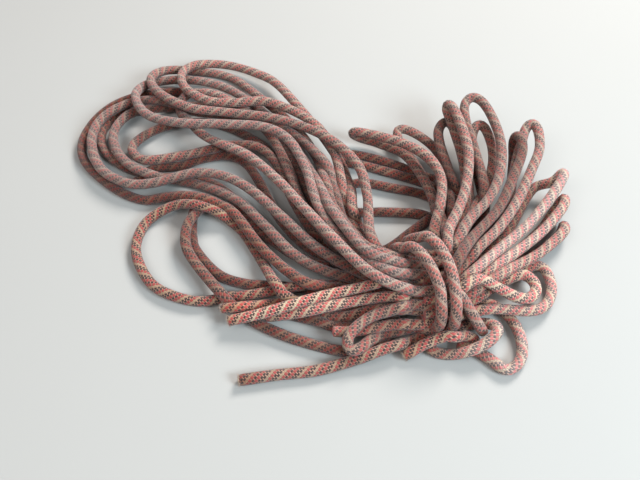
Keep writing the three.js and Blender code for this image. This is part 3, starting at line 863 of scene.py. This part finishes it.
def sheathMaterial(name):
    material = bpy.data.materials.new(name)
    n = Nodes(material)
    coordinate = n.add("ShaderNodeTexCoord").outputs["Object"]
    braidMap = n.add("ShaderNodeUVMap", uv_map="Braid").outputs[0]
    split = n.add("ShaderNodeSeparateXYZ")
    n.tree.links.new(braidMap, split.inputs[0])
    yarns = float(braid["yarns"])
    uneven, unevenToo = (n.times(n.minus(n.noise(scale, 2.0, coordinate), 0.5), sheath["uneven"])
                         for scale in (420.0, 510.0))
    letters = sheath["yarns"]
    edges = np.cumsum([0] + [sheath["lanes"][c] for c in letters])
    edges /= edges[-1]
    turns = n.plus(n.plus(split.outputs[0], split.outputs[1]), n.math("DIVIDE", uneven, yarns))
    # lanes of unequal width: stretches each turn so that every lane becomes one unit
    within = n.ramp(n.math("FRACT", turns), [(edge, (i / yarns,) * 3) for i, edge in enumerate(edges)])
    leanA = n.times(n.plus(n.math("FLOOR", turns), within), yarns)
    turnsBack = n.times(n.minus(split.outputs[0], split.outputs[1]), float(sheath["crossYarns"]))
    leanB = n.plus(turnsBack, n.plus(unevenToo, 3200.0))  # a large even number keeps it above zero
    yarnA, yarnB = n.math("FLOOR", leanA), n.math("FLOOR", leanB)
    acrossA = n.minus(n.math("FRACT", leanA), 0.5)
    acrossB = n.minus(n.math("FRACT", leanB), 0.5)
    order = n.math("FLOORED_MODULO", yarnA, yarns)
    share = n.math("DIVIDE", n.plus(order, 0.5), yarns)
    spots = [i / yarns for i in range(int(yarns))]
    bright = {"k": sheath["black"], "r": sheath["red"], "c": sheath["cream"]}
    faded = {"k": sheath["fadedBlack"], "r": sheath["fadedRed"], "c": sheath["fadedCream"]}

    def byYarn(values):
        # one value or colour for each coloured yarn
        stops = [values[c] if isinstance(values[c], tuple) else (values[c],) * 3 for c in letters]
        return n.ramp(share, list(zip(spots, stops)), constant=True)

    # over and under: a yarn rises at every other crossing
    signA = n.minus(1.0, n.times(n.math("FLOORED_MODULO", yarnA, 2.0), 2.0))
    signB = n.minus(1.0, n.times(n.math("FLOORED_MODULO", yarnB, 2.0), 2.0))
    riseA = n.times(n.math("COSINE", n.times(n.minus(leanB, 0.5), math.pi)), signA)
    riseB = n.times(n.math("COSINE", n.times(n.minus(leanA, 0.5), math.pi)), signB)
    riseB = n.scaled(riseB, -1.0, -0.3)
    widthA = byYarn(sheath["widths"])
    roundA = n.math("DIVIDE", acrossA, n.times(widthA, 0.5))
    roundB = n.math("DIVIDE", acrossB, sheath["crossWidth"])
    bulgeA = n.math("SQRT", n.minus(1.0, n.times(roundA, roundA), clamp=True))
    bulgeB = n.math("SQRT", n.minus(1.0, n.times(roundB, roundB), clamp=True))
    liftA = byYarn(sheath["lifts"])
    heightA = n.plus(n.scaled(riseA, sheath["rise"], n.minus(liftA, 0.2)), bulgeA)
    heightB = n.plus(bulgeB, n.times(riseB, sheath["rise"]))
    height = n.math("MAXIMUM", heightA, heightB)
    onTop = n.scaled(n.minus(heightA, heightB), 9.0, 0.5, clamp=True)
    # colour
    clean, rustAndPaintedBounce, dustAndPaintedHighlight, paintedShadeAndGrime = (n.attribute(label) for label in lookNames)
    patch = n.noise(sheath["patchScale"], 3.0, coordinate)
    streak = n.noise(sheath["streakScale"], 4.0, coordinate)
    worn = n.plus(clean, n.times(n.minus(streak, 0.5), 0.9), clamp=True)
    colourBright = byYarn(bright)
    colourFaded = byYarn(faded)
    yarnColour = n.mixColour(worn, colourFaded, colourBright)
    groundColour = n.mixColour(worn, sheath["fadedGround"], sheath["ground"])
    colour = n.mixColour(onTop, groundColour, yarnColour)
    fleck = n.noise(sheath["fleckScale"], 2.0, coordinate)
    colour = n.mixColour(n.scaled(fleck, 0.5, -0.05, clamp=True), colour,
                         n.mixColour(0.3, colour, sheath["ground"]))
    # rust brown stain, together with painted warm light bounced off the floor, soaks the low and hidden
    # lengths
    stainAndBounce = n.times(rustAndPaintedBounce, n.scaled(patch, 0.9, 0.45), clamp=True)
    colour = n.mixColour(n.times(stainAndBounce, sheath["stainAndBounceMost"]), colour,
                         n.mixColour(0.8, colour, sheath["rustAndBounceTone"], "MULTIPLY"))
    # grey dust with a painted highlight lies on what faces up; painted shade, with the grime of handled tips,
    # darkens what faces down or lies buried
    facing = n.add("ShaderNodeSeparateXYZ")
    n.tree.links.new(n.add("ShaderNodeNewGeometry").outputs["Normal"], facing.inputs[0])
    # painted highlight: the dust tone is laid on more thickly the more a face points up
    upward = n.scaled(facing.outputs[2], 0.5, 0.45, clamp=True)
    dustAndHighlightMask = n.times(n.times(dustAndPaintedHighlight, upward), n.scaled(streak, 1.3, 0.15), clamp=True)
    colour = n.mixColour(n.times(dustAndHighlightMask, sheath["dustAndHighlightMost"]), colour, sheath["dustAndHighlightTone"])
    # painted shade: darker the more a face points down, and where the strand carries painted shade
    below = n.scaled(facing.outputs[2], -0.55, 0.25, clamp=True)
    shadeAndGrimeMask = n.plus(n.times(paintedShadeAndGrime, n.scaled(patch, 0.5, 0.75)), below, clamp=True)
    colour = n.mixColour(shadeAndGrimeMask, colour, n.mixColour(1.0, colour, sheath["shadeAndGrimeTone"], "MULTIPLY"))
    # the joints between yarns are dark, with painted shade in the hollows between them
    deep = n.minus(1.0, n.scaled(height, 1.0, 0.1, clamp=True))
    colour = n.mixColour(n.times(deep, sheath["gapMost"]), colour, sheath["gapTone"])
    step = n.math("ABSOLUTE", n.minus(heightA, heightB))
    margin = n.minus(1.0, n.times(step, 1.25), clamp=True)
    colour = n.mixColour(n.times(margin, sheath["seamMost"]), colour,
                         n.mixColour(1.0, colour, sheath["seamTone"], "MULTIPLY"))
    shader = n.add("ShaderNodeBsdfPrincipled")
    n.plug(colour, shader.inputs["Base Color"])
    n.plug(n.scaled(streak, 0.25, sheath["rough"], clamp=True), shader.inputs["Roughness"])
    shader.inputs["Specular IOR Level"].default_value = sheath["shine"]
    shader.inputs["Sheen Weight"].default_value = sheath["sheen"]
    shader.inputs["Sheen Roughness"].default_value = 0.6
    thread = n.times(n.noise(sheath["threadScale"], 1.0, coordinate), sheath["thread"])
    bump = n.add("ShaderNodeBump")
    bump.inputs["Strength"].default_value = sheath["bump"]
    bump.inputs["Distance"].default_value = sheath["bumpHeight"]
    n.plug(n.plus(height, thread), bump.inputs["Height"])
    n.plug(bump.outputs[0], shader.inputs["Normal"])
    output = n.add("ShaderNodeOutputMaterial")
    n.plug(shader.outputs[0], output.inputs[0])
    return material


def plainMaterial(name, tone, toneToo, scale, roughness):
    material = bpy.data.materials.new(name)
    n = Nodes(material)
    coordinate = n.add("ShaderNodeTexCoord").outputs["Object"]
    grain = n.noise(scale, 3.0, coordinate)
    shader = n.add("ShaderNodeBsdfPrincipled")
    n.plug(n.mixColour(grain, tone, toneToo), shader.inputs["Base Color"])
    n.plug(n.scaled(grain, 0.2, roughness, clamp=True), shader.inputs["Roughness"])
    shader.inputs["Specular IOR Level"].default_value = 0.2
    bump = n.add("ShaderNodeBump")
    bump.inputs["Distance"].default_value = 0.0004
    n.plug(grain, bump.inputs["Height"])
    n.plug(bump.outputs[0], shader.inputs["Normal"])
    n.plug(shader.outputs[0], n.add("ShaderNodeOutputMaterial").inputs[0])
    return material


braidedSheath = sheathMaterial("braidedSheath")
looseFibre = plainMaterial("looseFibre", (0.60, 0.46, 0.38), (0.42, 0.29, 0.23), 700.0, 0.8)
cutCore = plainMaterial("cutCore", (0.62, 0.42, 0.24), (0.78, 0.66, 0.50), 900.0, 0.8)
print("materials made")

routes = {**longTurns, **nearStrands, **shortBights, **wraps, **looseEnds}
settled, closest = settle(joinedRoutes(routes))
print("strands settled; closest centres outside the fixed waist", np.round(closest, 1))


paintedLightAndWear = {
    "coverWide": 30,  # rope aside of a point covers it out to here, in mm
    "coverFrom": 5,  # and from this far above it, fully another coverOver higher
    "coverOver": 8,
    "coverFull": 6,
    "paintedBounceUnder": 0.35,  # what being covered adds or takes away: painted warm bounce light, dust with its painted highlight, and painted shade
    "dustAndHighlightUnder": 0.8,
    "paintedShadeUnder": 0.4,
    "shadeAndGrimeMost": 0.95,
    "tipReach": 28,  # a cut tip is browned with handling over this length
    "tipRust": 0.75,
    "tipGrime": 0.35,
}


def coverAbove(path, nodes):
    # how much rope lies over each point, 0 to 1
    cover = np.zeros(len(path))
    for start in range(0, len(path), 400):
        gap = nodes[None, :, :] - path[start:start + 400, None, :]
        aside = np.hypot(gap[..., 0], gap[..., 1])
        higher = np.clip((gap[..., 2] - paintedLightAndWear["coverFrom"]) / paintedLightAndWear["coverOver"], 0, 1)
        weight = np.clip(1 - aside / paintedLightAndWear["coverWide"], 0, 1) * higher
        cover[start:start + 400] = weight.sum(1)
    return np.clip(cover / paintedLightAndWear["coverFull"], 0, 1)


def strandLook(name, path):
    clean, rustAndPaintedBounce, dustAndPaintedHighlight, paintedShadeAndGrime = strandLooks[name]
    cover = coverAbove(path, allNodes)
    look = np.zeros((len(path), len(lookNames)))
    look[:, 0] = clean
    # rope lying over a point stands in for its shadow: it adds painted warm bounce light and painted shade,
    # and takes away dust and painted highlight
    look[:, 1] = np.clip(rustAndPaintedBounce + paintedLightAndWear["paintedBounceUnder"] * cover, 0, 1)
    look[:, 2] = dustAndPaintedHighlight * (1 - paintedLightAndWear["dustAndHighlightUnder"] * cover)
    look[:, 3] = np.clip(paintedShadeAndGrime + paintedLightAndWear["paintedShadeUnder"] * cover, 0, paintedLightAndWear["shadeAndGrimeMost"])
    if name in looseEnds:
        toTip = np.arange(len(path))[::-1] * rope["ringGap"]
        brown = np.clip(1 - toTip / paintedLightAndWear["tipReach"], 0, 1)
        look[:, 1] = np.clip(look[:, 1] + paintedLightAndWear["tipRust"] * brown, 0, 1)
        look[:, 3] = np.clip(look[:, 3] + paintedLightAndWear["tipGrime"] * brown, 0, 1)
    return look


allNodes = np.vstack(list(settled.values()))
bluntStarts = ("strandMiddle",)  # cut tips that show among the hank's strands
pieceGroups = {
    "topTurns": ["turnTop", "turnOuter", "turnHigh"],
    "middleTurns": ["turnCross", "turnWide", "turnNarrow"],
    "groundTurns": ["turnInner", "turnGround", "turnLowOuter", "turnLowInner"],
    "nearLoops": ["loopLoose", "loopShade", "loopBehind", "strandUnder", "strandFlat", "strandMiddle",
                  "strandStub", "bightTight", "lowerRun", "upperRun", "frontRun"],
    "standingBights": ["bightBack", "bightLow", "bightStanding", "bightSlim", "bightTall"],
    "leaningBights": ["bightShort", "bightLean", "bightEdge", "bightWing", "bightSide"],
    "groundBights": ["bightGround", "bightTwisted", "bightNear", "bightUnder", "bightShadow", "strandBack",
                     "loopCorner"],
    "waistTie": ["wrapFirst", "wrapSecond", "wrapThird", "tieFold"],
}
seeds = {name: 100 + 7 * i for i, name in enumerate(routes)}
finePaths = {name: routePoints(points, rope["ringGap"]) for name, points in settled.items()}
finePaths = splitRuns(finePaths, routes)
for pieceName, members in pieceGroups.items():
    gathered = RopeMesh()
    for name in members:
        gathered.addStrand(finePaths[name], strandLook(name, finePaths[name]), seeds[name],
                           cutStart=name in bluntStarts)
    piece = gathered.build(pieceName, [braidedSheath, cutCore])
    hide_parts("hank")
print("hank pieces made")

endPieces = {
    "frontEndRope": ("front_end", "front_end_sheath"),
    "tieTailRope": ("tie_tail", "tie_tail_sheath"),
    "lowerEndRope": ("lower_end", "lower_end_sheath"),
    "upperEndRope": ("upper_end", "upper_end_sheath"),
}
cordParts = {}
for pieceName, (name, slotName) in endPieces.items():
    gathered = RopeMesh()
    path = finePaths[name]
    gathered.addStrand(path, strandLook(name, path), seeds[name], cutEnd=True)
    piece = gathered.build(pieceName, [braidedSheath, cutCore])
    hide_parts(name)
    placed = (path + centreShift) * metre
    span = float(np.linalg.norm(np.diff(placed, axis=0), axis=1).sum())
    cordParts[pieceName] = dict(exit=tuple(placed[0]), length=span, diameter=rope["diameter"] * metre,
                                far_end="bare", stiffness="medium", lay="loose", path=placed.tolist())
    print(pieceName, "is", round(span * 1000), "mm long")

# fuzz: fine broken fibres that stand off the sheath, and longer ones at the cut tips
fuzz = {
    "perMetre": 1500,  # on an old strand
    "shortest": 0.8,
    "longest": 3.6,
    "thick": 0.075,
    "bend": 0.45,  # how far a fibre leans over, as a share of its length
    "untidy": 0.55,
    "snags": 60,  # pulled yarns, for every twelve strands
    "snagLengths": (3, 6.5),
    "snagThick": (0.14, 0.3),
    "atTip": 170,
    "tipLengths": (1.2, 4.2),
    "tipThick": 0.16,
    "tipUntidy": 0.28,
}


def fibreMesh(name, roots, ways, lengths, thick, seed):
    # each fibre is a three-sided spike of two steps that bends over
    random = np.random.default_rng(seed)
    count = len(roots)
    side = np.cross(ways, random.normal(0, 1, (count, 3)))
    side /= np.linalg.norm(side, axis=1)[:, None]
    other = np.cross(ways, side)
    lean = side * np.cos(random.uniform(0, 6.28, count))[:, None] + other * 0.5
    points = []
    for share, wide in ((0.0, 1.0), (0.55, 0.75)):
        centre = roots + ways * (lengths * share)[:, None]
        centre += lean * (lengths * fuzz["bend"] * share**2)[:, None]
        for k in range(3):
            a = 2 * math.pi * k / 3
            points.append(centre + (side * math.cos(a) + other * math.sin(a)) * thick[:, None] * wide)
    points.append(roots + ways * (lengths * 0.9)[:, None] + lean * (lengths * fuzz["bend"])[:, None])
    vertices = (np.stack(points, axis=1).reshape(-1, 3) + centreShift) * metre
    base = np.arange(count)[:, None] * 7
    pattern = [(0, 1, 4), (0, 4, 3), (1, 2, 5), (1, 5, 4), (2, 0, 3), (2, 3, 5), (3, 4, 6),
               (4, 5, 6), (5, 3, 6), (0, 2, 1)]
    faces = (base[:, None, :] + np.array(pattern)[None, :, :]).reshape(-1, 3)
    mesh = bpy.data.meshes.new(name)
    mesh.vertices.add(len(vertices))
    mesh.vertices.foreach_set("co", vertices.reshape(-1))
    mesh.loops.add(faces.size)
    mesh.loops.foreach_set("vertex_index", faces.reshape(-1).astype(np.int32))
    mesh.polygons.add(len(faces))
    mesh.polygons.foreach_set("loop_start", np.arange(0, faces.size, 3, dtype=np.int32))
    mesh.polygons.foreach_set("loop_total", np.full(len(faces), 3, np.int32))
    mesh.update(calc_edges=True)
    mesh.validate()
    piece = linked(name, mesh)
    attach(piece, "root")
    return piece


def sheathFibres(names, seed):
    random = np.random.default_rng(seed)
    roots, ways = [], []
    for name in names:
        path = finePaths[name]
        tangents, across, up = ringFrames(path)
        clean, rustAndPaintedBounce, dustAndPaintedHighlight, paintedShadeAndGrime = strandLooks[name]
        span = len(path) * rope["ringGap"] / 1000
        # fewer fibres where a strand carries more painted shade, more where it has more dust and painted
        # highlight
        count = int(fuzz["perMetre"] * span * (0.45 + 0.9 * dustAndPaintedHighlight) * (1 - 0.6 * paintedShadeAndGrime))
        at = random.integers(1, len(path) - 1, count)
        angle = random.uniform(0, 2 * math.pi, count)
        out = across[at] * np.cos(angle)[:, None] + up[at] * np.sin(angle)[:, None]
        root = path[at] + out * (rope["diameter"] / 2 - 0.25)
        root += tangents[at] * random.uniform(-1, 1, count)[:, None]
        way = out + random.normal(0, fuzz["untidy"], (count, 3))
        above = root[:, 2] + way[:, 2] * 3 > 1.0
        roots.append(root[above])
        ways.append(way[above])
    roots, ways = np.vstack(roots), np.vstack(ways)
    ways /= np.linalg.norm(ways, axis=1)[:, None]
    count = len(roots)
    more = random.uniform(0, 1, count) ** 2.5
    lengths = fuzz["shortest"] + (fuzz["longest"] - fuzz["shortest"]) * more
    thick = fuzz["thick"] * random.uniform(0.6, 1.3, count)
    snags = random.integers(0, count, fuzz["snags"] * len(names) // 12)
    lengths[snags] = random.uniform(*fuzz["snagLengths"], len(snags))
    thick[snags] = random.uniform(*fuzz["snagThick"], len(snags))
    return roots, ways, lengths, thick


def tipFibres(path, seed):
    random = np.random.default_rng(seed)
    tangents, across, up = ringFrames(path)
    count = fuzz["atTip"]
    angle = random.uniform(0, 2 * math.pi, count)
    reach = rope["diameter"] / 2 * np.sqrt(random.uniform(0.05, 1, count))
    out = across[-1] * np.cos(angle)[:, None] + up[-1] * np.sin(angle)[:, None]
    roots = path[-1] + out * reach[:, None] - tangents[-1] * random.uniform(0.2, 1.2, count)[:, None]
    ways = tangents[-1] + out * (0.35 * reach / 6 + 0.1)[:, None]
    ways += random.normal(0, fuzz["tipUntidy"], (count, 3))
    ways /= np.linalg.norm(ways, axis=1)[:, None]
    lengths = random.uniform(*fuzz["tipLengths"], count)
    # fibres that point down stop just above the ground
    toGround = (roots[:, 2] - 0.3) / np.maximum(-ways[:, 2], 0.05)
    lengths = np.minimum(lengths, np.where(ways[:, 2] < 0, toGround, 9))
    return roots, ways, np.maximum(lengths, 0.4), np.full(count, fuzz["tipThick"])


fuzzGroups = {
    "lobeFuzz": ("topTurns", "middleTurns", "groundTurns"),
    "nearFuzz": ("nearLoops", "waistTie", "groundBights"),
    "bightFuzz": ("standingBights", "leaningBights"),
}
for order, (pieceName, groupNames) in enumerate(fuzzGroups.items()):
    members = [name for group in groupNames for name in pieceGroups[group]]
    piece = fibreMesh(pieceName, *sheathFibres(members, 700 + order), 800 + order)
    piece.data.materials.append(looseFibre)
    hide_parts("hank")
for order, (pieceName, (name, slotName)) in enumerate(endPieces.items()):
    loose = sheathFibres([name], 900 + order)
    tip = tipFibres(finePaths[name], 950 + order)
    fibres = (np.concatenate(pair) for pair in zip(loose, tip))
    piece = fibreMesh(pieceName.replace("Rope", "Fray"), *fibres, 970 + order)
    piece.data.materials.append(looseFibre)
    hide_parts(name)
    cordParts[pieceName]["with_pieces"] = [piece]
print("fuzz made")

# sizes and places in metres
studio = {
    "floorHalf": 4,
    "floorDrop": 0.0003,
    "floorTones": ((0.44, 0.425, 0.40), (0.455, 0.44, 0.415)),
    "worldTone": (0.92, 0.95, 1.0),
    "worldStrength": 0.3,
}
lights = {
    # name: place, aim, width, watts, tone
    "windowLight": ((1.2, 1.7, 1.9), (0, 0, 0), 1.1, 96, (1.0, 0.985, 0.97)),
    "sideLight": ((1.5, -1.1, 1.3), (0.2, -0.1, 0), 0.9, 52, (0.74, 0.9, 1.0)),
    "fillLight": ((-1.2, -0.9, 2.0), (0, 0, 0), 1.6, 22, (0.98, 0.99, 1.0)),
}
half = studio["floorHalf"]
floorMesh = bpy.data.meshes.new("studioFloor")
floorMesh.from_pydata([(-half, -half, 0), (half, -half, 0), (half, half, 0), (-half, half, 0)], [],
                      [(0, 1, 2, 3)])
floorObject = linked("studioFloor", floorMesh)
floorObject.location.z = -studio["floorDrop"]
floorMesh.materials.append(plainMaterial("paleFloor", *studio["floorTones"], 3.0, 0.8))


def softLight(name, place, aim, size, watts, tone):
    data = bpy.data.lights.new(name, "AREA")
    data.shape = "DISK"
    data.size = size
    data.energy = watts
    data.color = tone
    light = linked(name, data)
    light.location = place
    light.rotation_euler = (Vector(aim) - Vector(place)).to_track_quat("-Z", "Y").to_euler()


for lightName, values in lights.items():
    softLight(lightName, *values)
world = bpy.data.worlds.new("studioWorld")
world.use_nodes = True
world.node_tree.nodes["Background"].inputs[0].default_value = (*studio["worldTone"], 1.0)
world.node_tree.nodes["Background"].inputs[1].default_value = studio["worldStrength"]
bpy.context.scene.world = world
bpy.context.scene.view_settings.view_transform = "Standard"
print("floor and light set")
